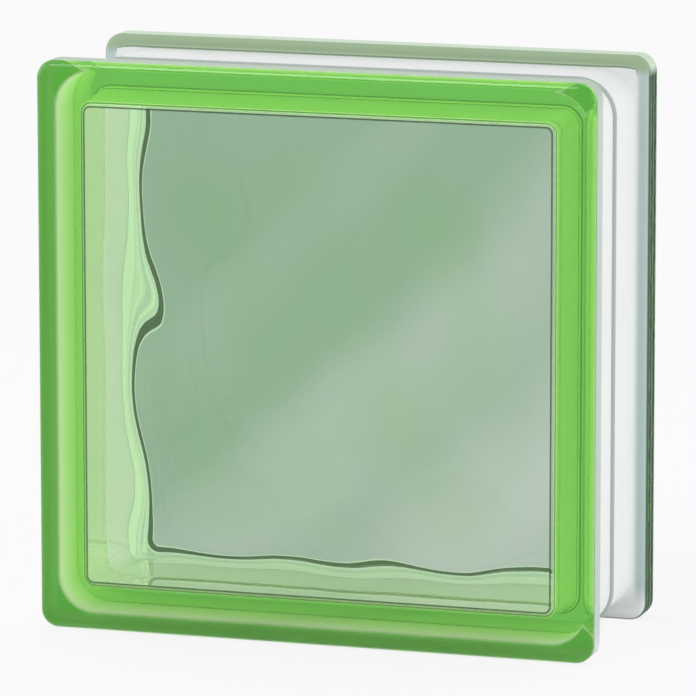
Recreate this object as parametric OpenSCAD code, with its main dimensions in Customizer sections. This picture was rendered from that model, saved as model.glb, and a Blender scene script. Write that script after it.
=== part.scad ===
// Hollow glass block: a green front half and a clear rear half, pressed in the same mould
// and fused along their open rims. X is the width, Y runs from the front face to the rear
// face, and Z is up. The origin is under the middle of the block, which stands on the lower
// edges of its two flanges.

/* [Block] */
// Width over the flanges
block_w = 190; // [150:1:300]
// Height over the flanges
block_h = 190; // [150:1:300]
// Depth from the front face to the rear face
block_d = 80; // [75:1:120]

/* [Flange] */
// Thickness of each flange, from its face to its shoulder
flange_t = 12; // [9:0.5:16]
// Radius of the flange's corners, seen from the front
flange_corner = 6; // [5:0.5:12]
// Rounding where the face turns into the flange's edge
face_edge_r = 3; // [1:0.25:4]
// Rounding where the flange's edge turns into its shoulder
shoulder_r = 2; // [0.5:0.25:3]

/* [Mortar channel] */
// Depth of the mortar channel below the flange's edge
channel_depth = 4.5; // [3:0.25:6]
// Radius of the channel's corners, seen from the front
channel_corner = 12; // [9:0.5:18]
// Fillet between the channel's floor and the shoulder
channel_fillet = 2; // [0.5:0.25:2.5]
// Height of the fused bead above the channel's floor
bead_h = 1; // [0.4:0.1:1.5]

/* [Glass] */
// Thickness of each pane at the troughs of its waves
pane_t = 7.5; // [5:0.25:10]
// Thickness of the side walls at the seam
seam_wall = 7; // [5:0.25:10]
// Draft of the cavity's walls, in degrees
cavity_draft = 4; // [1:0.5:6]
// Fillet between the cavity's walls and the pane
cavity_fillet = 2; // [1:0.25:6]
// Radius of the pane's corners inside that fillet
pane_corner = 2; // [1:0.5:10]

/* [Waves] */
// Height of the waves inside each pane, from trough to crest
wave_h = 2.6; // [0.5:0.1:5]
// Distance from crest to crest of the longest wave train
wave_pitch = 52; // [35:1:100]
// Heading of the longest wave train, in degrees from the width
wave_heading = 42; // [0:1:90]
// Angle from one wave train to the next, in degrees
wave_turn = 81; // [40:1:85]
// Width of the border in which the waves die out
wave_border = 28; // [6:1:35]
// Place across the pane, from its middle, where all trains rise from the mean
wave_x = -9; // [-40:1:40]
// Height of that place over the pane's middle
wave_y = -1; // [-40:1:40]

/* [Hidden] */
$fn = 96;

// Depths are measured from the seam towards a face.
half_d = block_d / 2;
shoulder_y = half_d - flange_t;
pane_y = half_d - pane_t;

// Centre of the cavity's fillet: its depth, and its place in from the wall's edge at the seam
fillet_y = pane_y - cavity_fillet;
fillet_in = (cavity_fillet + fillet_y * sin(cavity_draft)) / cos(cavity_draft);

// Width, height and corner radius of the cavity where it opens at the seam
cavity_w = block_w - 2 * (channel_depth + seam_wall);
cavity_h = block_h - 2 * (channel_depth + seam_wall);
cavity_corner = pane_corner + fillet_in;

// The waves cover the flat of the pane, clear of the fillet in its corners, and stand a little
// above the flat where they have died out. Their root is sunk into the pane.
wave_gap = pane_corner;
wave_lift = 0.05;
wave_root = 1;
wave_w = cavity_w - 2 * (fillet_in + wave_gap);
wave_l = cavity_h - 2 * (fillet_in + wave_gap);

// The waved surface is a grid of square cells, no larger than this.
wave_cell = 5;
columns = ceil(wave_w / wave_cell);
rows = ceil(wave_l / wave_cell);

// Number of wave trains, and the length of each as a share of the one before it
wave_trains = 3;
train_shrink = 0.83;

// Room by which a cutting shape overshoots the edge that it cuts
overshoot = 1;

// Height of the full waves over the pane's flat, at a point measured from the pane's middle
function swell(x, y) =
    let (
        terms = [
            for (train = [0 : wave_trains - 1])
                let (
                    heading = wave_heading + train * wave_turn,
                    pitch = wave_pitch * pow(train_shrink, train)
                )
                sin(360 * ((x - wave_x) * cos(heading) + (y - wave_y) * sin(heading)) / pitch)
        ],
        sum = terms * [for (term = terms) 1]
    )
    wave_h / 2 * (1 + sum / wave_trains);

// Share of the full waves that is left at a distance from the edge of the waved area
function fade(distance) =
    let (share = min(1, distance / wave_border))
    share * share * (3 - 2 * share);

// Height of the waved surface at a point measured from the pane's middle
function wave_at(x, y) =
    wave_lift + swell(x, y) * fade(wave_w / 2 - abs(x)) * fade(wave_l / 2 - abs(y));

// Index of a grid point of the waved surface
function grid(column, row) = row * (columns + 1) + column;

// The waves on the inside of a pane, with their flat root
module pane_waves() {
    surface_points = [
        for (row = [0 : rows], column = [0 : columns])
            let (
                x = wave_w * (column / columns - 1 / 2),
                y = wave_l * (row / rows - 1 / 2)
            )
            [x, y, pane_y - wave_at(x, y)]
    ];
    root_points = [
        for (corner = [[-1, -1], [1, -1], [1, 1], [-1, 1]])
            [corner.x * wave_w / 2, corner.y * wave_l / 2, pane_y + wave_root]
    ];
    root = len(surface_points);
    cells = [
        for (row = [0 : rows - 1], column = [0 : columns - 1])
            each [
                [grid(column, row), grid(column + 1, row), grid(column + 1, row + 1)],
                [grid(column, row), grid(column + 1, row + 1), grid(column, row + 1)]
            ]
    ];
    sides = [
        [root, root + 1, for (column = [columns : -1 : 0]) grid(column, 0)],
        [root + 1, root + 2, for (row = [rows : -1 : 0]) grid(columns, row)],
        [root + 2, root + 3, for (column = [0 : columns]) grid(column, rows)],
        [root + 3, root, for (row = [0 : rows]) grid(0, row)]
    ];
    back = [[root, root + 3, root + 2, root + 1]];
    polyhedron(concat(surface_points, root_points), concat(cells, sides, back));
}

// Waste outside a rounding of radius r, for a corner that points right and up, or right and down
module rounding_waste(corner, r, points_up) {
    side = points_up ? 1 : -1;
    translate([corner.x - r, corner.y - side * r])
        difference() {
            mirror([0, points_up ? 0 : 1])
                square(r + overshoot);
            circle(r);
        }
}

// Carries a section round a rectangle with rounded corners. The section is drawn with its
// distance from the corners' axes along x and its depth from the seam along y, and the
// middle is filled over the depths given.
module carry_round(width, height, corner, from_y, to_y) {
    reach_x = width / 2 - corner;
    reach_y = height / 2 - corner;
    for (turn = [0, 180])
        rotate(turn) {
            translate([reach_x, reach_y, 0])
                rotate([90, 0, 0])
                    linear_extrude(2 * reach_y)
                        children();
            translate([-reach_x, reach_y, 0])
                rotate([90, 0, 90])
                    linear_extrude(2 * reach_x)
                        children();
            translate([reach_x, reach_y, 0])
                rotate_extrude(angle = 90)
                    children();
            translate([-reach_x, reach_y, 0])
                rotate(90)
                    rotate_extrude(angle = 90)
                        children();
        }
    translate([-reach_x, -reach_y, from_y])
        cube([2 * reach_x, 2 * reach_y, to_y - from_y]);
}

// Section of the flange: a slab with a rounded face edge and a rounded shoulder
module flange_section() {
    difference() {
        translate([0, shoulder_y])
            square([flange_corner, flange_t]);
        rounding_waste([flange_corner, half_d], face_edge_r, true);
        rounding_waste([flange_corner, shoulder_y], shoulder_r, false);
    }
}

// Section of the side wall: the channel's floor, its fillet up to the shoulder, and the
// quarter of the fused bead that stands on this half's rim
module wall_section() {
    square([channel_corner, shoulder_y]);
    translate([channel_corner, shoulder_y - channel_fillet])
        difference() {
            square(channel_fillet);
            translate([channel_fillet, 0])
                circle(channel_fillet);
        }
    translate([channel_corner, 0])
        intersection() {
            circle(bead_h);
            square(bead_h);
        }
}

// Section of the cavity: a drafted wall that turns into the pane with a fillet
module cavity_section() {
    fillet_start = [cos(cavity_draft), sin(cavity_draft)];
    fillet_centre = [pane_corner, fillet_y];
    polygon([
        [0, 0],
        [cavity_corner, 0],
        fillet_centre + cavity_fillet * fillet_start,
        fillet_centre,
        [pane_corner, pane_y],
        [0, pane_y]
    ]);
    // The fillet is the sector from the wall's end to the pane.
    translate(fillet_centre)
        intersection() {
            circle(cavity_fillet);
            polygon(2 * cavity_fillet * [[0, 0], fillet_start, [1, 1], [0, 1]]);
        }
}

// One pressed half, lying with its open rim at depth 0 and its face at the top
module half_block() {
    difference() {
        union() {
            carry_round(block_w, block_h, flange_corner, shoulder_y, half_d)
                flange_section();
            carry_round(
                block_w - 2 * channel_depth, block_h - 2 * channel_depth, channel_corner, 0, shoulder_y
            )
                wall_section();
        }
        carry_round(cavity_w, cavity_h, cavity_corner, 0, pane_y)
            cavity_section();
    }
    pane_waves();
}

// The green half, with its face towards -Y
module front_shell() {
    color("yellowgreen")
        translate([0, 0, block_h / 2])
            rotate([90, 0, 0])
                half_block();
}

// The clear half: the same pressing, turned about the height to face +Y
module rear_shell() {
    color("lightcyan")
        translate([0, 0, block_h / 2])
            rotate([90, 0, 180])
                half_block();
}

front_shell();
rear_shell();
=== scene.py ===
"""Looks of a hollow glass block: a green and a clear pressed half, fused rim to rim.

Each half is rebuilt as a smooth shell on the section of the solid that it stands for. The pane's
waves are raised by a Geometry Nodes tree, and the painted sides carry a thin coat that lies
against the glass with no air between and lets some light in.
"""

from __future__ import annotations

import logging
import math
from dataclasses import dataclass, replace
from enum import Enum

import bmesh
import bpy
from mathutils import Matrix, Vector

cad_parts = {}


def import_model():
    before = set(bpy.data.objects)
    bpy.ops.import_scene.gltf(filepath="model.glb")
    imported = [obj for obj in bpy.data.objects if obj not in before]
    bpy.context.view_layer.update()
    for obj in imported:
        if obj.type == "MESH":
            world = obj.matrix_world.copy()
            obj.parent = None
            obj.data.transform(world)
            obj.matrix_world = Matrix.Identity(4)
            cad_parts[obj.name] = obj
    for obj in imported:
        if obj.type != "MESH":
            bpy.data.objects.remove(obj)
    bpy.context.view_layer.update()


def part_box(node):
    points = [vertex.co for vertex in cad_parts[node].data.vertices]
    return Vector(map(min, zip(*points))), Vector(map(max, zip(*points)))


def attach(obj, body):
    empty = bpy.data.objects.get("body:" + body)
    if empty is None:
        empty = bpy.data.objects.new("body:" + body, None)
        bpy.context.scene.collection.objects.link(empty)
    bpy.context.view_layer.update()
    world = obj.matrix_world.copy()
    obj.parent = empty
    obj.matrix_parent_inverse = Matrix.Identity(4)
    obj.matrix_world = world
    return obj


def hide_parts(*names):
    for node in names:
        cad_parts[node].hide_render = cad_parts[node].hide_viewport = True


Colour = tuple[float, float, float]
Place = tuple[float, float, float]
Span = tuple[float, float]

LOG = logging.getLogger("glass_block")
BODY = "root"
MM = 0.001
GLASS_IOR = 1.52
WHITE = (1.0, 1.0, 1.0, 1.0)
LIGHT_BOUNCES = {
    "max_bounces": 24,
    "glossy_bounces": 16,
    "transmission_bounces": 24,
    "diffuse_bounces": 6,
}
MIDDLE_HEIGHT = 95 * MM
# Heights at which the finishes along the top and along the bottom begin and are alone; several of those
# finishes are painted light and shade
CROWN_REACH = (183 * MM, 186 * MM)
FOOT_REACH = (12 * MM, 5 * MM)
# Octaves of noise in soft forms, in fine grain and in patches, and the value that noise swings about
SOFT, FINE, PATCHY = 1.0, 2.0, 3.0
NOISE_MIDDLE = 0.5
# Sockets of a Mix node that takes colours: its factor, its two colours and its result
MIX_SHARE, MIX_FIRST, MIX_SECOND, MIX_RESULT = 0, 6, 7, 2
WAVE_INPUTS = (
    "Wave Height",
    "Longest Pitch",
    "Heading",
    "Turn",
    "Border",
    "Start Across",
    "Start Up",
    "Half Width",
    "Half Height",
    "Middle Height",
    "Face Side",
)


class Side(Enum):
    """The way in which a half's face looks along Y."""

    FRONT = -1
    REAR = 1


class Band(Enum):
    """What covers the strip of a shell between two of its rings."""

    BARE = 0
    COATED = 1
    LAND = 2
    TURN = 3
    SEAM = 4


class Sock:
    """A node's output that takes part in shader and geometry maths through Python's operators."""

    def __init__(self, graph: Graph, socket: bpy.types.NodeSocket) -> None:
        """Keeps the socket and the graph that new nodes go into.

        Args:
            graph: The graph that owns the socket's node.
            socket: The output to wrap.
        """
        self.graph = graph
        self.socket = socket

    def out(self, name: str) -> Sock:
        """Another output of the same node, by name."""
        return Sock(self.graph, self.socket.node.outputs[name])

    def math(self, operation: str, *values: Sock | float) -> Sock:
        """Adds a Math node.

        Args:
            operation: The Math node's operation.
            values: Its inputs, in order.

        Returns:
            The node's result.
        """
        sockets = dict(enumerate(values))
        return self.graph.add("ShaderNodeMath", {"operation": operation}, sockets)

    def __add__(self, other: Sock | float) -> Sock:
        """Sum of two values."""
        return self.math("ADD", self, other)

    def __radd__(self, other: float) -> Sock:
        """Sum, with the number on the left."""
        return self.math("ADD", other, self)

    def __sub__(self, other: Sock | float) -> Sock:
        """Difference of two values."""
        return self.math("SUBTRACT", self, other)

    def __rsub__(self, other: float) -> Sock:
        """Difference, with the number on the left."""
        return self.math("SUBTRACT", other, self)

    def __mul__(self, other: Sock | float) -> Sock:
        """Product of two values."""
        return self.math("MULTIPLY", self, other)

    def __rmul__(self, other: float) -> Sock:
        """Product, with the number on the left."""
        return self.math("MULTIPLY", other, self)

    def __truediv__(self, other: Sock | float) -> Sock:
        """Quotient of two values."""
        return self.math("DIVIDE", self, other)

    def __abs__(self) -> Sock:
        """Value without its sign."""
        return self.math("ABSOLUTE", self)

    def sine(self) -> Sock:
        """Sine of an angle in radians."""
        return self.math("SINE", self)

    def cosine(self) -> Sock:
        """Cosine of an angle in radians."""
        return self.math("COSINE", self)

    def at_most(self, limit: Sock | float) -> Sock:
        """The smaller of the value and a limit."""
        return self.math("MINIMUM", self, limit)

    def at_least(self, limit: Sock | float) -> Sock:
        """The larger of the value and a limit."""
        return self.math("MAXIMUM", self, limit)

    def over(self, limit: float) -> Sock:
        """One where the value is above a limit, and zero elsewhere."""
        return self.math("GREATER_THAN", self, limit)

    def ramp(self, start: float, end: float) -> Sock:
        """Rises from zero to one as the value goes from a start to an end."""
        return ((self - start) / (end - start)).clamped()

    def clamped(self) -> Sock:
        """The value, held between zero and one."""
        return self.at_most(1.0).at_least(0.0)

    def smooth(self) -> Sock:
        """A share from zero to one, made to start and end level."""
        return self * self * (3.0 - 2.0 * self)


class Graph:
    """A node tree that is filled one node at a time."""

    def __init__(self, tree: bpy.types.NodeTree) -> None:
        """Starts from a tree with no nodes in it.

        Args:
            tree: The tree to fill.
        """
        self.tree = tree
        tree.nodes.clear()

    def blend(self, share: Sock, first: Sock | Colour, second: Sock | Colour) -> Sock:
        """Mixes two colours.

        Args:
            share: Share of the second colour.
            first: The first colour.
            second: The second colour.

        Returns:
            The mixed colour.
        """
        colours = [value if isinstance(value, Sock) else (*value, 1.0) for value in (first, second)]
        sockets = {MIX_SHARE: share, MIX_FIRST: colours[0], MIX_SECOND: colours[1]}
        return self.add("ShaderNodeMix", {"data_type": "RGBA"}, sockets, MIX_RESULT)

    def layer(self, share: Sock | float, under: Sock, over: Sock) -> Sock:
        """Lays one shader over another, by a share."""
        return self.add("ShaderNodeMixShader", sockets={0: share, 1: under, 2: over})

    def noise(self, place: Sock, scale: float, octaves: float) -> Sock:
        """Adds noise with a number of patches on a metre."""
        return self.add(
            "ShaderNodeTexNoise", sockets={"Vector": place, "Scale": scale, "Detail": octaves}
        )

    def bump(self, height: Sock, distance: float) -> Sock:
        """Adds the normal of a relief, with its height scaled by a distance in metres."""
        return self.add(
            "ShaderNodeBump", sockets={"Height": height, "Distance": distance, "Strength": 1.0}
        )

    def mark(self, name: str) -> Sock:
        """Reads one of the mesh's attributes as a number."""
        return self.add("ShaderNodeAttribute", {"attribute_name": name}, output="Fac")

    def seen(self) -> Sock:
        """One on a ray from the camera, from a mirroring surface or out of glass, and zero on others."""
        ray = self.add("ShaderNodeLightPath", output="Is Camera Ray")
        return ray.at_least(ray.out("Is Glossy Ray")).at_least(ray.out("Is Transmission Ray"))

    def add(
        self,
        kind: str,
        settings: dict[str, object] | None = None,
        sockets: dict[str | int, object] | None = None,
        output: str | int = 0,
    ) -> Sock | None:
        """Adds one node, sets it up and links it.

        Args:
            kind: The node's type.
            settings: Properties of the node, which are set first.
            sockets: Values or links of its inputs, by name or index.
            output: The output to hand back, by name or index.

        Returns:
            The chosen output, or None for a node that has no output.
        """
        node = self.tree.nodes.new(kind)
        for name, value in (settings or {}).items():
            setattr(node, name, value)
        for name, value in (sockets or {}).items():
            target = node.inputs[name]
            if isinstance(value, Sock):
                self.tree.links.new(value.socket, target)
            else:
                target.default_value = value
        return Sock(self, node.outputs[output]) if node.outputs else None


@dataclass(frozen=True)
class Glass:
    """Pressed glass that takes its colour from its own depth and from tints on its surface, some of
    which are painted light and shade.

    Attributes:
        surface_tint: Share of light that the surface lets through, as a colour.
        turn_shade_tint: The same for the tight turn between the cavity's wall and the pane, kept dark as
            painted shade that draws a dark line there.
        seam_tint: The same for the rounded seam in the cavity's wall.
        face_tint: The same for the flat face.
        pane_shading_tints: The same for the waved side of the pane, in its greener and its greyer bands:
            a grey glass tint, with painted light and shade in bands over it.
        absorbs: Red, green and blue light lost on each metre of glass, as decay rates.
        face_from: Distance from the seam at which the face begins, in metres.
        band_pitch: Distance from band to band of that painted light and shade, across and down at once,
            in metres.
        band_start: Where the middle one lies, to the right of and below the block's middle, in metres.
        band_depth: Share by which they differ.
        band_wander: How far they stray from their line, in radians of their pitch.
        cloud_scale: Number of soft clouds among them on a metre.
        shade_fall: Greyer share in the middle, and what it gains on each metre across and down: a
            painted gradient of light and shade.
        ripple_height: Height of the soft unevenness left by the mould, in metres.
        ripple_scale: Number of such ripples on a metre.
    """

    surface_tint: Colour
    turn_shade_tint: Colour
    seam_tint: Colour
    face_tint: Colour
    pane_shading_tints: tuple[Colour, Colour]
    absorbs: tuple[float, float, float]
    face_from: float = 39.5 * MM
    band_pitch: float = 84 * MM
    band_start: float = 19 * MM
    band_depth: float = 0.0
    band_wander: float = 0.0
    cloud_scale: float = 14.0
    shade_fall: tuple[float, float] = (0.0, 0.0)
    ripple_height: float = 0.05 * MM
    ripple_scale: float = 60.0

    def surface(self, graph: Graph) -> Sock:
        """Adds the clear refracting surface.

        Args:
            graph: The material's graph.

        Returns:
            The surface's shader.
        """
        place = graph.add("ShaderNodeTexCoord", output="Object")
        normal = graph.bump(graph.noise(place, self.ripple_scale, SOFT), self.ripple_height)
        spot = graph.add("ShaderNodeSeparateXYZ", sockets={"Vector": place})
        # Painted light and shade on the pane: bands, soft clouds and a gradient across and down.
        slant = spot.out("X") - spot.out("Z") + MIDDLE_HEIGHT
        stray = (graph.noise(place, self.cloud_scale, SOFT) - NOISE_MIDDLE) * self.band_wander
        phase = (slant - self.band_start) * (math.tau / self.band_pitch) + stray
        patch = self.shade_fall[0] + slant * self.shade_fall[1] + phase.cosine() * self.band_depth
        pane_tint = graph.blend(patch.clamped(), *self.pane_shading_tints)
        on_face = abs(spot.out("Y")).over(self.face_from)
        # Painted shade: the turn's tint darkens the fillet into a dark line.
        tint = graph.blend(graph.mark("turn"), self.surface_tint, self.turn_shade_tint)
        tint = graph.blend(graph.mark("seam"), tint, self.seam_tint)
        tint = graph.blend(on_face, tint, self.face_tint)
        tint = graph.blend(graph.mark("pane"), tint, pane_tint)
        return graph.add(
            "ShaderNodeBsdfPrincipled",
            sockets={
                "Base Color": tint,
                "Roughness": 0.0,
                "IOR": GLASS_IOR,
                "Transmission Weight": 1.0,
                "Normal": normal,
            },
        )

    def inside(self, graph: Graph) -> Sock:
        """Adds the absorbing inside.

        Args:
            graph: The material's graph.

        Returns:
            The volume's shader.
        """
        density = max(self.absorbs)
        colour = [1.0 - rate / density for rate in self.absorbs]
        return graph.add(
            "ShaderNodeVolumeAbsorption",
            sockets={"Color": (*colour, 1.0), "Density": density},
        )


@dataclass(frozen=True)
class GroundEdge:
    """Bare land round a flange, ground, with painted shade that makes it dark and painted glints on fine
    ribs along it.

    Attributes:
        dark: Colour between the ribs, painted shade.
        pale: Colour of the ribs, a painted glint.
        crown_shading_colour: Colour along the top, lighter: painted light from above.
        inner_colour: Colour of the land as it shows through the glass.
        rib_height: Height of the ribs, in metres.
        rib_pitch: Distance from rib to rib, in metres.
        rib_reach: Heights on a rib, from -1 to 1, at which its colour begins and is alone.
        rib_wander: How far the ribs stray from their line, in radians of their pitch.
        chip_scale: Number of their turns on a metre.
        roughness: Roughness of the land.
        ior: Index that sets its weak shine.
    """

    # Painted shade between the ribs, painted glints on them and painted light along the top.
    dark: Colour = (0.015, 0.05, 0.015)
    pale: Colour = (0.15, 0.3, 0.13)
    crown_shading_colour: Colour = (0.64, 0.78, 0.62)
    inner_colour: Colour = (0.8, 0.9, 0.78)
    rib_height: float = 0.1 * MM
    rib_pitch: float = 3.4 * MM
    rib_reach: Span = (0.2, 1.0)
    rib_wander: float = 6.0
    chip_scale: float = 250.0
    roughness: float = 0.4
    ior: float = 1.15

    def surface(self, graph: Graph) -> Sock:
        """Adds the land, with its painted shade, glints and light.

        Args:
            graph: The material's graph.

        Returns:
            The land's shader.
        """
        place = graph.add("ShaderNodeTexCoord", output="Object")
        spot = graph.add("ShaderNodeSeparateXYZ", sockets={"Vector": place})
        stray = graph.noise(place, self.chip_scale, FINE) * self.rib_wander
        ribs = (abs(spot.out("Y")) * (math.tau / self.rib_pitch) + stray).sine()
        # Painted glints on the ribs over painted shade between them.
        colour = graph.blend(ribs.ramp(*self.rib_reach), self.dark, self.pale)
        # Painted light: the land is lighter along the top.
        colour = graph.blend(spot.out("Z").ramp(*CROWN_REACH), colour, self.crown_shading_colour)
        outside = graph.add(
            "ShaderNodeBsdfPrincipled",
            sockets={
                "Base Color": colour,
                "Roughness": self.roughness,
                "IOR": self.ior,
                "Normal": graph.bump(ribs, self.rib_height),
            },
        )
        inside = graph.add("ShaderNodeBsdfTranslucent", sockets={"Color": (*self.inner_colour, 1.0)})
        from_glass = graph.add("ShaderNodeNewGeometry", output="Backfacing")
        return graph.layer(from_glass, outside, inside)


@dataclass(frozen=True)
class EdgeCoat:
    """White paint sprayed on the block's sides.

    Attributes:
        colour: Colour of the paint where it lies thick.
        thin_colour: Colour where it lies thin.
        seam_shade_colour: Colour along the fused bead, darker: painted shade beside the bead.
        seam_reach: Distances from the seam at which that colour fades and ends, in metres.
        flange_from: Distance from the seam at which the flange's fillet begins, in metres.
        line_colour: Colour of a thin dark line on the flange's shoulder, along the top.
        line_reach: Distances in from the outline at which that line begins and is alone, in metres.
        line_end: Distances in from the outline at which it has ended and starts to end, in metres.
        edge_shade_colour: Colour on the flange's shoulder and edge, greyer: painted shade on the paint
            there.
        crown_shading_colour: The same along the top, darker and greener: painted shade.
        foot_colour: The same along the bottom, lighter, as less shade is painted there.
        edge_reach: Distances in from the outline at which that colour begins and is alone, in metres.
        rim_colour: Colour of a thin dark line on the flange, towards the face, but not along the top.
        rim_reach: Distances from the seam at which that colour begins and is alone, in metres.
        inner_colour: Colour of the film's clean side, against the glass.
        inner_foot_colour: The same along the bottom.
        inner_edge_colour: The same on the flange's edge.
        inner_corner_colour: The same in the corners of the flange's shoulder.
        corner_from: Distance from the seam at which those corners begin, in metres.
        corner_reach: Distances in from the outline at which they begin and are alone, in metres.
        translucency: Share of the light on the film that it lets through into the glass.
        edge_translucency: The same on the flange's edge, where the film lies thick.
        shut_reach: Distances from the seam at which that edge begins and is alone, in metres.
        cloud_scale: Number of thick and thin patches on a metre.
        grain_scale: Number of grains of the sprayed surface on a metre.
        grain_height: Height of that grain, in metres.
        roughness: Least roughness of the film, and what its thick patches add.
    """

    colour: Colour
    thin_colour: Colour
    seam_shade_colour: Colour
    seam_reach: Span
    flange_from: float
    line_colour: Colour
    line_reach: Span
    line_end: Span
    edge_shade_colour: Colour
    crown_shading_colour: Colour
    foot_colour: Colour
    edge_reach: Span
    rim_colour: Colour
    rim_reach: Span
    inner_colour: Colour
    inner_foot_colour: Colour
    inner_edge_colour: Colour
    inner_corner_colour: Colour
    corner_from: float
    corner_reach: Span
    translucency: float
    edge_translucency: float
    shut_reach: Span
    cloud_scale: float = 40.0
    grain_scale: float = 1800.0
    grain_height: float = 0.02 * MM
    roughness: tuple[float, float] = (0.55, 0.2)

    def surface(self, graph: Graph) -> Sock:
        """Adds the matt white film, with faint patches and a fine grain.

        Args:
            graph: The material's graph.

        Returns:
            The film's shader.
        """
        place = graph.add("ShaderNodeTexCoord", output="Object")
        cloud = graph.noise(place, self.cloud_scale, PATCHY)
        spot = graph.add("ShaderNodeSeparateXYZ", sockets={"Vector": place})
        depth = abs(spot.out("Y"))
        crown = spot.out("Z").ramp(*CROWN_REACH)
        colour = graph.blend(cloud, self.thin_colour, self.colour)
        # Painted shade along the fused bead.
        colour = graph.blend(depth.ramp(*self.seam_reach), self.seam_shade_colour, colour)
        inset = graph.mark("inset")
        on_flange = depth.over(self.flange_from)
        foot = spot.out("Z").ramp(*FOOT_REACH)
        # Painted shade on the flange's shoulder and edge: greyer at the sides, darker along the top and
        # lighter along the bottom.
        edge = graph.blend(foot, self.edge_shade_colour, self.foot_colour)
        edge = graph.blend(crown, edge, self.crown_shading_colour)
        line = on_flange * crown * inset.ramp(*self.line_reach) * inset.ramp(*self.line_end)
        colour = graph.blend(on_flange * inset.ramp(*self.edge_reach), colour, edge)
        colour = graph.blend(line, colour, self.line_colour)
        colour = graph.blend(depth.ramp(*self.rim_reach) * (1.0 - crown), colour, self.rim_colour)
        grain = graph.noise(place, self.grain_scale, FINE)
        film = graph.add(
            "ShaderNodeBsdfPrincipled",
            sockets={
                "Base Color": colour,
                "Roughness": self.roughness[0] + self.roughness[1] * cloud,
                "Normal": graph.bump(grain, self.grain_height),
            },
        )
        corner = on_flange * depth.over(self.corner_from) * inset.ramp(*self.corner_reach)
        behind = self.clean_side(graph, self.inner_colour, self.translucency)
        for share, inner, passed in (
            (foot, self.inner_foot_colour, self.translucency),
            (depth.ramp(*self.shut_reach), self.inner_edge_colour, self.edge_translucency),
            (corner, self.inner_corner_colour, self.edge_translucency),
        ):
            behind = graph.layer(share, behind, self.clean_side(graph, inner, passed))
        from_glass = graph.add("ShaderNodeNewGeometry", output="Backfacing")
        return graph.layer(from_glass, film, behind)

    @staticmethod
    def clean_side(graph: Graph, colour: Colour, passed: float) -> Sock:
        """Adds the side of the film that lies against the glass.

        Args:
            graph: The material's graph.
            colour: Colour of the film.
            passed: Share of the light that the film lets through.

        Returns:
            The shader of that side.
        """
        back = graph.add("ShaderNodeBsdfDiffuse", sockets={"Color": (*colour, 1.0)})
        glow = graph.add("ShaderNodeBsdfTranslucent", sockets={"Color": (*colour, 1.0)})
        return graph.layer(passed, back, glow)


@dataclass(frozen=True)
class Finish:
    """Glass with a coat on the faces that are marked as coated.

    Attributes:
        slot: Name of the material.
        glass: The glass.
        coat: The coat, which lies on the glass with no air between.
        edge: The bare land round the flange.
    """

    slot: str
    glass: Glass
    coat: EdgeCoat
    edge: GroundEdge

    def material(self) -> bpy.types.Material:
        """Makes the material of a whole half.

        Returns:
            A material that is glass where it is bare and paint where it is coated.
        """
        material = bpy.data.materials.new(self.slot)
        material.use_nodes = True
        graph = Graph(material.node_tree)
        surface = self.glass.surface(graph)
        for name, cover in (("land", self.edge), ("coated", self.coat)):
            surface = graph.layer(graph.mark(name), surface, cover.surface(graph))
        graph.add(
            "ShaderNodeOutputMaterial",
            sockets={"Surface": surface, "Volume": self.glass.inside(graph)},
        )
        return material


@dataclass(frozen=True)
class Section:
    """Sizes of a pressed half's section, in metres. Depths run from the seam to the face.

    Attributes:
        flange_t: Thickness of the flange, from its face to its shoulder.
        flange_corner: Radius of the flange's corners.
        face_edge_r: Rounding between the face and the flange's edge.
        shoulder_r: Rounding between the flange's edge and its shoulder.
        channel_depth: Depth of the mortar channel below the flange's edge.
        channel_corner: Radius of the channel's corners.
        channel_fillet: Fillet between the channel's floor and the shoulder.
        bead_h: Height of the fused bead above the channel's floor.
        pane_t: Thickness of the pane at the troughs of its waves.
        seam_wall: Thickness of the side wall at the seam.
        cavity_draft: Draft of the cavity's wall, in radians.
        cavity_fillet: Fillet between the cavity's wall and the pane.
        pane_corner: Radius of the pane's corners inside that fillet.
        turn_reach: Depths in that fillet between which it shows as a dark line of painted shade.
        seam_gap: Half of the hair gap that keeps the two fused rims apart.
        seam_round: Rounding of the rim where the seam shows inside the cavity.
    """

    flange_t: float = 12 * MM
    flange_corner: float = 6 * MM
    face_edge_r: float = 3 * MM
    shoulder_r: float = 2 * MM
    channel_depth: float = 4.5 * MM
    channel_corner: float = 12 * MM
    channel_fillet: float = 2 * MM
    bead_h: float = 1 * MM
    pane_t: float = 7.5 * MM
    seam_wall: float = 7 * MM
    cavity_draft: float = math.radians(4)
    cavity_fillet: float = 2 * MM
    pane_corner: float = 2 * MM
    turn_reach: Span = (1.85 * MM, 2.0 * MM)
    seam_gap: float = 0.01 * MM
    seam_round: float = 0.8 * MM

    @property
    def cavity_inset(self) -> float:
        """Distance from the block's outline to the cavity's edge at the seam."""
        return self.channel_depth + self.seam_wall

    def fillet_in(self, half_depth: float) -> float:
        """Works out how far in the cavity's wall and fillet come before the pane is flat.

        Args:
            half_depth: Depth of the half, from the seam to the face.

        Returns:
            The distance from the cavity's edge at the seam to the pane's flat.
        """
        centre = half_depth - self.pane_t - self.cavity_fillet
        slope = centre * math.sin(self.cavity_draft)
        return (self.cavity_fillet + slope) / math.cos(self.cavity_draft)


@dataclass(frozen=True)
class Station:
    """One ring of a shell, with the strip that follows it.

    Attributes:
        inset: Distance in from the block's outline.
        corner: Radius of the ring's corners.
        depth: Depth from the seam.
        band: What covers the strip from this ring to the next.
        crease: Whether the surface has a sharp edge along the ring.
    """

    inset: float
    corner: float
    depth: float
    band: Band = Band.BARE
    crease: bool = False


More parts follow.
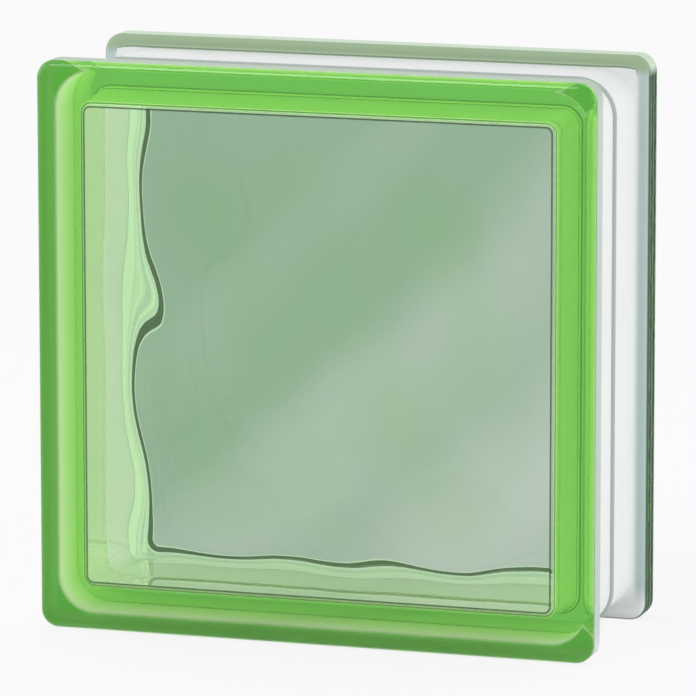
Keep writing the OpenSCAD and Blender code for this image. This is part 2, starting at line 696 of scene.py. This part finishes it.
@dataclass(frozen=True)
class Waves:
    """Rule of the waves inside a pane, as lengths in metres and angles in radians.

    Attributes:
        height: Height from trough to crest.
        pitch: Distance from crest to crest of the longest wave train.
        heading: Heading of the longest wave train, from the width.
        turn: Angle from one wave train to the next.
        border: Width of the border in which the waves die out.
        start: Place across and up from the pane's middle where all trains rise from the mean.
        trains: Number of wave trains.
        shrink: Length of each train as a share of the one before it.
    """

    height: float = 2.6 * MM
    pitch: float = 52 * MM
    heading: float = math.radians(42)
    turn: float = math.radians(81)
    border: float = 28 * MM
    start: tuple[float, float] = (-9 * MM, -1 * MM)
    trains: int = 3
    shrink: float = 0.83

    def tree(self) -> bpy.types.NodeTree:
        """Builds the Geometry Nodes tree that raises the waves and lays the finishes.

        Returns:
            The tree, with a named input for each size.
        """
        tree = bpy.data.node_groups.new("pane_waves", "GeometryNodeTree")
        face = tree.interface
        face.new_socket("Shell", in_out="INPUT", socket_type="NodeSocketGeometry")
        for name in WAVE_INPUTS:
            face.new_socket(name, in_out="INPUT", socket_type="NodeSocketFloat")
        face.new_socket("Finish", in_out="INPUT", socket_type="NodeSocketMaterial")
        face.new_socket("Shell", in_out="OUTPUT", socket_type="NodeSocketGeometry")
        graph = Graph(tree)
        given = graph.add("NodeGroupInput")
        place = graph.add("ShaderNodeSeparateXYZ", sockets={0: graph.add("GeometryNodeInputPosition")})
        away = given.out("Face Side") * -1.0
        across = place.out("X") * away
        up = place.out("Z") - given.out("Middle Height")
        total = None
        for train in range(self.trains):
            heading = given.out("Heading") + given.out("Turn") * float(train)
            pitch = given.out("Longest Pitch") * self.shrink**train
            run = (across - given.out("Start Across")) * heading.cosine()
            rise = (up - given.out("Start Up")) * heading.sine()
            phase = (run + rise) / pitch * math.tau
            total = phase.sine() if total is None else total + phase.sine()
        swell = given.out("Wave Height") * 0.5 * (total / float(self.trains) + 1.0)
        for reach, along in (("Half Width", across), ("Half Height", up)):
            share = ((given.out(reach) - abs(along)) / given.out("Border")).clamped()
            swell = swell * share.smooth()
        offset = graph.add("ShaderNodeCombineXYZ", sockets={"Y": swell * away})
        on_pane = graph.add(
            "GeometryNodeInputNamedAttribute", {"data_type": "BOOLEAN"}, {"Name": "pane"}
        )
        shell = graph.add(
            "GeometryNodeSetPosition",
            sockets={"Geometry": given.out("Shell"), "Selection": on_pane, "Offset": offset},
        )
        shell = graph.add("GeometryNodeRealizeInstances", sockets={"Geometry": shell})
        shell = graph.add(
            "GeometryNodeSetMaterial",
            sockets={"Geometry": shell, "Material": given.out("Finish")},
        )
        graph.add("NodeGroupOutput", sockets={"Shell": shell})
        return tree


@dataclass
class Shell:
    """One pressed half of the block.

    Attributes:
        node: The solid that the shell stands for.
        side: The way in which its face looks.
        section: Sizes of its section.
        waves: Rule of the waves inside its pane.
        finish: Its glass and the paint on its sides.
        coat_on_edge: Whether the paint also covers the flange's edge.
    """

    node: str
    side: Side
    section: Section
    waves: Waves
    finish: Finish
    coat_on_edge: bool

    CORNER_STEPS = 6
    STRAIGHT_STEPS = 84
    ARC_STEPS = 10
    SUPPORT = 0.25 * MM
    SHORTEST_STRIP = 1 * MM
    FIRST_SPOKE = 225
    HALF_CORNER = 45

    def __post_init__(self) -> None:
        """Reads the half's outer sizes from the solid that it stands for."""
        low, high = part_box(self.node)
        self.half_width = (high[0] - low[0]) / 2
        self.half_height = (high[2] - low[2]) / 2
        self.half_depth = high[1] - low[1]

    def arc(
        self, centre: tuple[float, float], radius: float, start: float, end: float
    ) -> list[tuple[float, float]]:
        """Points along a rounding of the section.

        Args:
            centre: Inset and depth of the rounding's centre.
            radius: Its radius.
            start: Angle of its first point, in degrees, from outwards towards the face.
            end: Angle of its last point, in degrees.

        Returns:
            The inset and depth of each point.
        """
        points = []
        for step in range(self.ARC_STEPS + 1):
            angle = math.radians(start + (end - start) * step / self.ARC_STEPS)
            points.append((centre[0] - radius * math.cos(angle), centre[1] + radius * math.sin(angle)))
        return points

    def stations(self) -> list[Station]:
        """Walks the section from the face's edge over the side and the seam to the pane.

        Returns:
            The rings in order, without the flat face and the pane's own grid.
        """
        s = self.section
        face = self.half_depth
        shoulder = face - s.flange_t
        edge = Band.COATED if self.coat_on_edge else Band.LAND
        rings = []
        for inset, depth in self.arc((s.face_edge_r, face - s.face_edge_r), s.face_edge_r, 90, 0):
            rings.append(Station(inset, s.flange_corner - inset, depth))
        rings[-1] = replace(rings[-1], band=edge)
        for inset, depth in self.arc((s.shoulder_r, shoulder + s.shoulder_r), s.shoulder_r, 0, -90):
            rings.append(Station(inset, s.flange_corner - inset, depth, Band.COATED))
        fillet_inset = s.channel_depth - s.channel_fillet
        fillet_depth = shoulder - s.channel_fillet
        for inset, depth in self.arc((fillet_inset, fillet_depth), s.channel_fillet, 90, 180):
            corner = s.channel_corner + s.channel_depth - inset
            rings.append(Station(inset, corner, depth, Band.COATED))
        for inset, depth in self.arc((s.channel_depth, s.seam_gap), s.bead_h, 90, 0):
            corner = s.channel_corner + s.channel_depth - inset
            rings.append(Station(inset, corner, depth, Band.COATED, depth > s.bead_h))
        rings[-1] = replace(rings[-1], band=Band.BARE, crease=True)
        fillet_in = s.fillet_in(face)
        cavity_corner = s.pane_corner + fillet_in
        draft = math.degrees(s.cavity_draft)
        lean = math.tan(s.cavity_draft) - 1 / math.cos(s.cavity_draft)
        centre = (s.cavity_inset + s.seam_round * lean, s.seam_gap + s.seam_round)
        for inset, depth in self.arc(centre, s.seam_round, -90, draft - 180):
            corner = cavity_corner + s.cavity_inset - inset
            rings.append(Station(inset, corner, depth, Band.SEAM))
        rings[-1] = replace(rings[-1], band=Band.BARE)
        pane = face - s.pane_t
        centre = (s.cavity_inset + fillet_in, pane - s.cavity_fillet)
        for inset, depth in self.arc(centre, s.cavity_fillet, draft, 90):
            corner = s.pane_corner + centre[0] - inset
            # Rings in this part of the fillet carry the painted shade of the dark line.
            dark = s.turn_reach[0] <= depth - centre[1] < s.turn_reach[1]
            rings.append(Station(inset, corner, depth, Band.TURN if dark else Band.BARE))
        return self.supported(rings)

    def supported(self, rings: list[Station]) -> list[Station]:
        """Adds rings just inside the ends of each flat strip, so that it shades flat.

        Args:
            rings: The section's own rings.

        Returns:
            The rings with their supports, and one more on the face and on the pane.
        """
        first, last = rings[0], rings[-1]
        full = [Station(first.inset + self.SUPPORT, first.corner - self.SUPPORT, first.depth)]
        for here, after in zip(rings, rings[1:]):
            full.append(here)
            length = math.hypot(after.inset - here.inset, after.depth - here.depth)
            if length < self.SHORTEST_STRIP:
                continue
            for share in (self.SUPPORT / length, 1 - self.SUPPORT / length):
                full.append(
                    Station(
                        here.inset + (after.inset - here.inset) * share,
                        here.corner + (after.corner - here.corner) * share,
                        here.depth + (after.depth - here.depth) * share,
                        here.band,
                    )
                )
        full.append(last)
        full.append(Station(last.inset + self.SUPPORT, last.corner - self.SUPPORT, last.depth))
        return full

    def ring(self, station: Station) -> list[Vector]:
        """Lays out one ring, side by side from the lower left corner.

        Args:
            station: The ring to lay out.

        Returns:
            Its points, in the block's frame.
        """
        wide = self.half_width - station.inset - station.corner
        high = self.half_height - station.inset - station.corner
        centres = [Vector(c) for c in ((-wide, -high), (wide, -high), (wide, high), (-wide, high))]

        def spoke(degrees: float) -> Vector:
            """The corner's radius as a vector at an angle."""
            angle = math.radians(degrees)
            return Vector((math.cos(angle), math.sin(angle))) * station.corner

        flat = []
        for index, centre in enumerate(centres):
            after = centres[(index + 1) % 4]
            start = self.FIRST_SPOKE + 2 * self.HALF_CORNER * index
            square = start + self.HALF_CORNER
            for step in range(self.CORNER_STEPS):
                flat.append(centre + spoke(start + self.HALF_CORNER * step / self.CORNER_STEPS))
            for step in range(self.STRAIGHT_STEPS):
                flat.append(centre.lerp(after, step / self.STRAIGHT_STEPS) + spoke(square))
            for step in range(self.CORNER_STEPS):
                flat.append(after + spoke(square + self.HALF_CORNER * step / self.CORNER_STEPS))
        side = self.side.value
        return [
            Vector((-side * p.x, side * station.depth, self.half_height + p.y)) for p in flat
        ]

    def inset_of(self, point: Vector) -> float:
        """Measures how far a point lies in from the flange's outline, seen from the front.

        Args:
            point: A point of the shell, in the block's frame.

        Returns:
            The distance.
        """
        corner = self.section.flange_corner
        across = abs(point.x) - self.half_width + corner
        up = abs(point.z - self.half_height) - self.half_height + corner
        return corner - math.hypot(max(across, 0.0), max(up, 0.0)) - min(max(across, up), 0.0)

    def plain_mesh(self) -> bpy.types.Mesh:
        """Makes the shell with a flat pane, and marks its pane, its painted faces and its creases.

        Returns:
            A closed mesh with the attributes pane, inset, coated, land, turn and seam.
        """
        steps = 2 * self.CORNER_STEPS + self.STRAIGHT_STEPS
        count = 4 * steps
        stations = self.stations()
        points = [point for station in stations for point in self.ring(station)]
        faces = []
        bands = []
        for row, station in enumerate(stations[:-1]):
            for column in range(count):
                after = (column + 1) % count
                here, there = row * count, (row + 1) * count
                faces.append((here + column, here + after, there + after, there + column))
                bands.append(station.band)
        ring_total = len(points)
        for start in (0, (len(stations) - 1) * count):
            self.fill(points, faces, start, steps)
        bands += [Band.BARE] * (len(faces) - len(bands))
        mesh = bpy.data.meshes.new(self.node + "_smooth")
        mesh.from_pydata(points, [], faces)
        work = bmesh.new()
        work.from_mesh(mesh)
        bmesh.ops.recalc_face_normals(work, faces=work.faces)
        for polygon in work.faces:
            polygon.smooth = True
        work.to_mesh(mesh)
        work.free()
        pane_start = ring_total + (steps - 1) ** 2
        pane = [start >= pane_start for start in range(len(points))]
        mesh.attributes.new("pane", "BOOLEAN", "POINT").data.foreach_set("value", pane)
        insets = [self.inset_of(point) for point in points]
        mesh.attributes.new("inset", "FLOAT", "POINT").data.foreach_set("value", insets)
        for band in (Band.COATED, Band.LAND, Band.TURN, Band.SEAM):
            name = band.name.lower()
            marks = [here is band for here in bands]
            mesh.attributes.new(name, "BOOLEAN", "FACE").data.foreach_set("value", marks)
        creased = {row for row, station in enumerate(stations) if station.crease}
        sharp = []
        for edge in mesh.edges:
            rows = {vertex // count for vertex in edge.vertices if vertex < ring_total}
            sharp.append(len(rows) == 1 and max(edge.vertices) < ring_total and rows <= creased)
        mesh.attributes.new("sharp_edge", "BOOLEAN", "EDGE").data.foreach_set("value", sharp)
        return mesh

    @staticmethod
    def fill(points: list[Vector], faces: list[tuple[int, ...]], start: int, steps: int) -> None:
        """Closes a ring with a grid that runs evenly between its four sides.

        Args:
            points: The mesh's points, which grow by the grid's inner points.
            faces: The mesh's faces, which grow by the grid's cells.
            start: Index of the ring's first point.
            steps: Number of cells along each side.
        """
        rim = {}
        for step in range(steps):
            rim[step, 0] = start + step
            rim[steps, step] = start + steps + step
            rim[steps - step, steps] = start + 2 * steps + step
            rim[0, steps - step] = start + 3 * steps + step
        index = dict(rim)
        for row in range(1, steps):
            for column in range(1, steps):
                u, v = column / steps, row / steps
                low, high = points[rim[column, 0]], points[rim[column, steps]]
                left, right = points[rim[0, row]], points[rim[steps, row]]
                corners = (
                    points[rim[0, 0]].lerp(points[rim[steps, 0]], u),
                    points[rim[0, steps]].lerp(points[rim[steps, steps]], u),
                )
                index[column, row] = len(points)
                points.append(low.lerp(high, v) + left.lerp(right, u) - corners[0].lerp(corners[1], v))
        for row in range(steps):
            for column in range(steps):
                cell = ((column, row), (column + 1, row), (column + 1, row + 1), (column, row + 1))
                faces.append(tuple(index[corner] for corner in cell))

    def build(self, tree: bpy.types.NodeTree) -> bpy.types.Object:
        """Makes the finished shell and hands it to the frame.

        Args:
            tree: The tree that raises the waves.

        Returns:
            The shell, riding on the block's body in place of its solid.
        """
        shell = bpy.data.objects.new(self.node + "_glass", self.plain_mesh())
        bpy.context.scene.collection.objects.link(shell)
        modifier = shell.modifiers.new("waves", "NODES")
        modifier.node_group = tree
        inset = self.section.cavity_inset + self.section.fillet_in(self.half_depth)
        gap = self.section.pane_corner
        values = {
            "Wave Height": self.waves.height,
            "Longest Pitch": self.waves.pitch,
            "Heading": self.waves.heading,
            "Turn": self.waves.turn,
            "Border": self.waves.border,
            "Start Across": self.waves.start[0],
            "Start Up": self.waves.start[1],
            "Half Width": self.half_width - inset - gap,
            "Half Height": self.half_height - inset - gap,
            "Middle Height": self.half_height,
            "Face Side": float(self.side.value),
            "Finish": self.finish.material(),
        }
        for item in tree.interface.items_tree:
            if item.in_out == "INPUT" and item.name in values:
                modifier[item.identifier] = values[item.name]
        graph = bpy.context.evaluated_depsgraph_get()
        mesh = bpy.data.meshes.new_from_object(
            shell.evaluated_get(graph), preserve_all_data_layers=True, depsgraph=graph
        )
        shell.modifiers.clear()
        shell.data = mesh
        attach(shell, BODY)
        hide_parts(self.node)
        LOG.info("%s: %d faces, %d materials", shell.name, len(mesh.polygons), len(mesh.materials))
        return shell


@dataclass(frozen=True)
class Lamp:
    """A square soft box that looks at the block.

    Attributes:
        name: Name of the lamp.
        place: Where it hangs, in metres.
        target: The point that it looks at, in metres.
        size: Length of its side, in metres.
        power: Its power, in watts.
    """

    name: str
    place: Place
    target: Place
    size: float
    power: float

    def hang(self) -> bpy.types.Object:
        """Makes the lamp.

        Returns:
            The lamp's object.
        """
        data = bpy.data.lights.new(self.name, "AREA")
        data.size = self.size
        data.energy = self.power
        lamp = bpy.data.objects.new(self.name, data)
        bpy.context.scene.collection.objects.link(lamp)
        way = Vector(self.target) - Vector(self.place)
        lamp.rotation_euler = way.to_track_quat("-Z", "Y").to_euler()
        lamp.location = self.place
        return lamp


@dataclass
class Studio:
    """Floor, light and camera round the block.

    Attributes:
        floor_reach: Half of the floor's side, in metres.
        floor_colour: Colour of the floor.
        floor_roughness: Roughness of the floor.
        floor_white: Share of plain white in the floor as it is seen, beside its own shade.
        sky: Strength of the white light from all round.
        sides: Strength that is added to the left and to the right.
        backdrop: Strength that is added behind the block.
        sky_white: Least strength of the surroundings as they are seen, straight or by way of glass.
        lamp: The soft box over the camera's left.
        sensor: Width of the camera's sensor, in millimetres.
        lens: Its focal length, in millimetres.
        yaw: Turn of the camera to the block's right, in radians.
        pitch: Angle at which it looks down, in radians.
        roll: Its turn about its own axis, in radians.
        stand: Where it stands, in metres.
        sight: How far it sees, in metres.
    """

    floor_reach: float = 60.0
    floor_colour: Colour = (0.93, 0.93, 0.93)
    floor_roughness: float = 0.9
    floor_white: float = 0.82
    sky: float = 0.25
    sides: float = 1.7
    backdrop: float = 0.8
    sky_white: float = 0.97
    lamp: Lamp = Lamp("soft_box", (-0.4, -0.7, 1.2), (0.0, 0.0, MIDDLE_HEIGHT), 0.6, 3.5)
    sensor: float = 36.0
    lens: float = 340.2
    yaw: float = math.radians(17.571)
    pitch: float = math.radians(10.491)
    roll: float = math.radians(-0.039)
    stand: Place = (0.6461, -2.0407, 0.4888)
    sight: float = 100.0

    def lay_floor(self) -> bpy.types.Object:
        """Makes the pale floor.

        Returns:
            The floor, marked as part of the stage.
        """
        reach = self.floor_reach
        mesh = bpy.data.meshes.new("studio_floor")
        corners = [(-reach, -reach, 0), (reach, -reach, 0), (reach, reach, 0), (-reach, reach, 0)]
        mesh.from_pydata(corners, [], [(0, 1, 2, 3)])
        material = bpy.data.materials.new("studio_floor")
        material.use_nodes = True
        graph = Graph(material.node_tree)
        surface = graph.add(
            "ShaderNodeBsdfPrincipled",
            sockets={
                "Base Color": (*self.floor_colour, 1.0),
                "Roughness": self.floor_roughness,
                "Specular IOR Level": 0.0,
            },
        )
        white = graph.add("ShaderNodeEmission", sockets={"Color": WHITE, "Strength": 1.0})
        surface = graph.layer(graph.seen() * self.floor_white, surface, white)
        graph.add("ShaderNodeOutputMaterial", sockets={"Surface": surface})
        mesh.materials.append(material)
        floor = bpy.data.objects.new("studio_floor", mesh)
        bpy.context.scene.collection.objects.link(floor)
        return floor

    def light(self) -> None:
        """Lights the block from all round and hangs the lamp."""
        world = bpy.data.worlds.new("studio_light")
        world.use_nodes = True
        graph = Graph(world.node_tree)
        way = graph.add("ShaderNodeTexCoord", output="Generated")
        spot = graph.add("ShaderNodeSeparateXYZ", sockets={"Vector": way})
        across = spot.out("X")
        behind = spot.out("Y").at_least(0.0)
        strength = self.sky + self.sides * across * across + self.backdrop * behind * behind
        matt_bounces = graph.add("ShaderNodeLightPath", output="Diffuse Depth")
        seen = graph.seen() * (1.0 - matt_bounces.at_most(1.0))
        strength = strength.at_least(seen * self.sky_white)
        glow = graph.add("ShaderNodeBackground", sockets={"Color": WHITE, "Strength": strength})
        graph.add("ShaderNodeOutputWorld", sockets={"Surface": glow})
        bpy.context.scene.world = world
        self.lamp.hang()
        for name, count in LIGHT_BOUNCES.items():
            setattr(bpy.context.scene.cycles, name, count)

    def place_camera(self) -> bpy.types.Object:
        """Sets the camera at the photograph's angle.

        Returns:
            The scene's camera.
        """
        data = bpy.data.cameras.new("camera")
        data.sensor_width = self.sensor
        data.lens = self.lens
        data.clip_end = self.sight
        camera = bpy.data.objects.new("camera", data)
        bpy.context.scene.collection.objects.link(camera)
        level = math.cos(self.pitch)
        back = Vector((math.sin(self.yaw) * level, -math.cos(self.yaw) * level, math.sin(self.pitch)))
        right = Vector((math.cos(self.yaw), math.sin(self.yaw), 0.0))
        up = back.cross(right)
        tilted = right * math.cos(self.roll) + up * math.sin(self.roll)
        axes = Matrix((tilted, back.cross(tilted), back)).transposed().to_4x4()
        camera.matrix_world = Matrix.Translation(self.stand) @ axes
        bpy.context.scene.camera = camera
        return camera


def main() -> None:
    """Builds the block and its studio, and reports each piece."""
    logging.basicConfig(level=logging.INFO, format="%(message)s")
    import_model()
    bpy.context.scene.view_settings.view_transform = "Standard"
    front_section = Section()
    rear_section = replace(front_section, turn_reach=(1.4 * MM, 2.0 * MM))
    waves = Waves()
    front_coat = EdgeCoat(
        colour=(0.9, 0.92, 0.915),
        thin_colour=(0.84, 0.87, 0.86),
        # Painted shade along the fused bead.
        seam_shade_colour=(0.46, 0.52, 0.49),
        seam_reach=(0.9 * MM, 1.7 * MM),
        flange_from=20 * MM,
        line_colour=(0.2, 0.3, 0.17),
        line_reach=(3.5 * MM, 3.7 * MM),
        line_end=(4.3 * MM, 4.0 * MM),
        # Painted shade on the flange's shoulder and edge, darker along the top and lighter along the
        # bottom.
        edge_shade_colour=(0.55, 0.65, 0.57),
        crown_shading_colour=(0.5, 0.6, 0.5),
        foot_colour=(0.7, 0.75, 0.72),
        edge_reach=(4.4 * MM, 3.2 * MM),
        rim_colour=(0.15, 0.3, 0.12),
        rim_reach=(36.1 * MM, 36.5 * MM),
        inner_colour=(0.98, 0.98, 0.98),
        inner_foot_colour=(0.98, 0.98, 0.98),
        inner_edge_colour=(0.5, 0.95, 0.28),
        inner_corner_colour=(0.38, 0.95, 0.18),
        corner_from=27.5 * MM,
        corner_reach=(2.6 * MM, 4.5 * MM),
        translucency=0.65,
        edge_translucency=0.1,
        shut_reach=(25.8 * MM, 28.1 * MM),
    )
    rear_coat = replace(
        front_coat,
        # Painted shade on the rear flange's shoulder, darker along the top.
        edge_shade_colour=(0.53, 0.65, 0.62),
        crown_shading_colour=(0.36, 0.5, 0.31),
        foot_colour=(0.93, 0.95, 0.94),
        rim_colour=(0.05, 0.12, 0.07),
        rim_reach=(28.5 * MM, 28.9 * MM),
        inner_foot_colour=(0.85, 0.98, 0.76),
        inner_edge_colour=(0.7, 0.85, 0.65),
        inner_corner_colour=(0.7, 0.85, 0.65),
    )
    green = Glass(
        surface_tint=(0.98, 0.99, 0.98),
        # The turn tint is painted shade that draws the dark line on the turn.
        turn_shade_tint=(0.02, 0.05, 0.02),
        seam_tint=(0.18, 0.29, 0.14),
        face_tint=(0.98, 0.99, 0.98),
        pane_shading_tints=((0.98, 0.99, 0.98), (0.98, 0.99, 0.98)),
        absorbs=(29.5, 6.0, 54.0),
    )
    clear = Glass(
        surface_tint=(0.79, 0.91, 0.77),
        # The turn tint is painted shade that draws the dark line on the turn.
        turn_shade_tint=(0.002, 0.01, 0.002),
        seam_tint=(0.79, 0.91, 0.77),
        face_tint=(0.55, 0.68, 0.78),
        # The pane's tints grey the glass and carry painted light and shade in bands and a gradient.
        pane_shading_tints=((0.223, 0.294, 0.285), (0.87, 0.615, 1.0)),
        absorbs=(8.0, 4.0, 7.0),
        band_depth=0.15,
        band_wander=3.0,
        shade_fall=(0.18, 3.9),
    )
    edge = GroundEdge()
    front = Shell(
        node="front_shell",
        side=Side.FRONT,
        section=front_section,
        waves=waves,
        finish=Finish("green_glass", green, front_coat, edge),
        coat_on_edge=True,
    )
    rear = Shell(
        node="rear_shell",
        side=Side.REAR,
        section=rear_section,
        waves=waves,
        finish=Finish("clear_glass", clear, rear_coat, edge),
        coat_on_edge=False,
    )
    tree = waves.tree()
    for shell in (front, rear):
        shell.build(tree)
    studio = Studio()
    studio.lay_floor()
    studio.light()
    studio.place_camera()


if __name__ == "__main__":
    main()
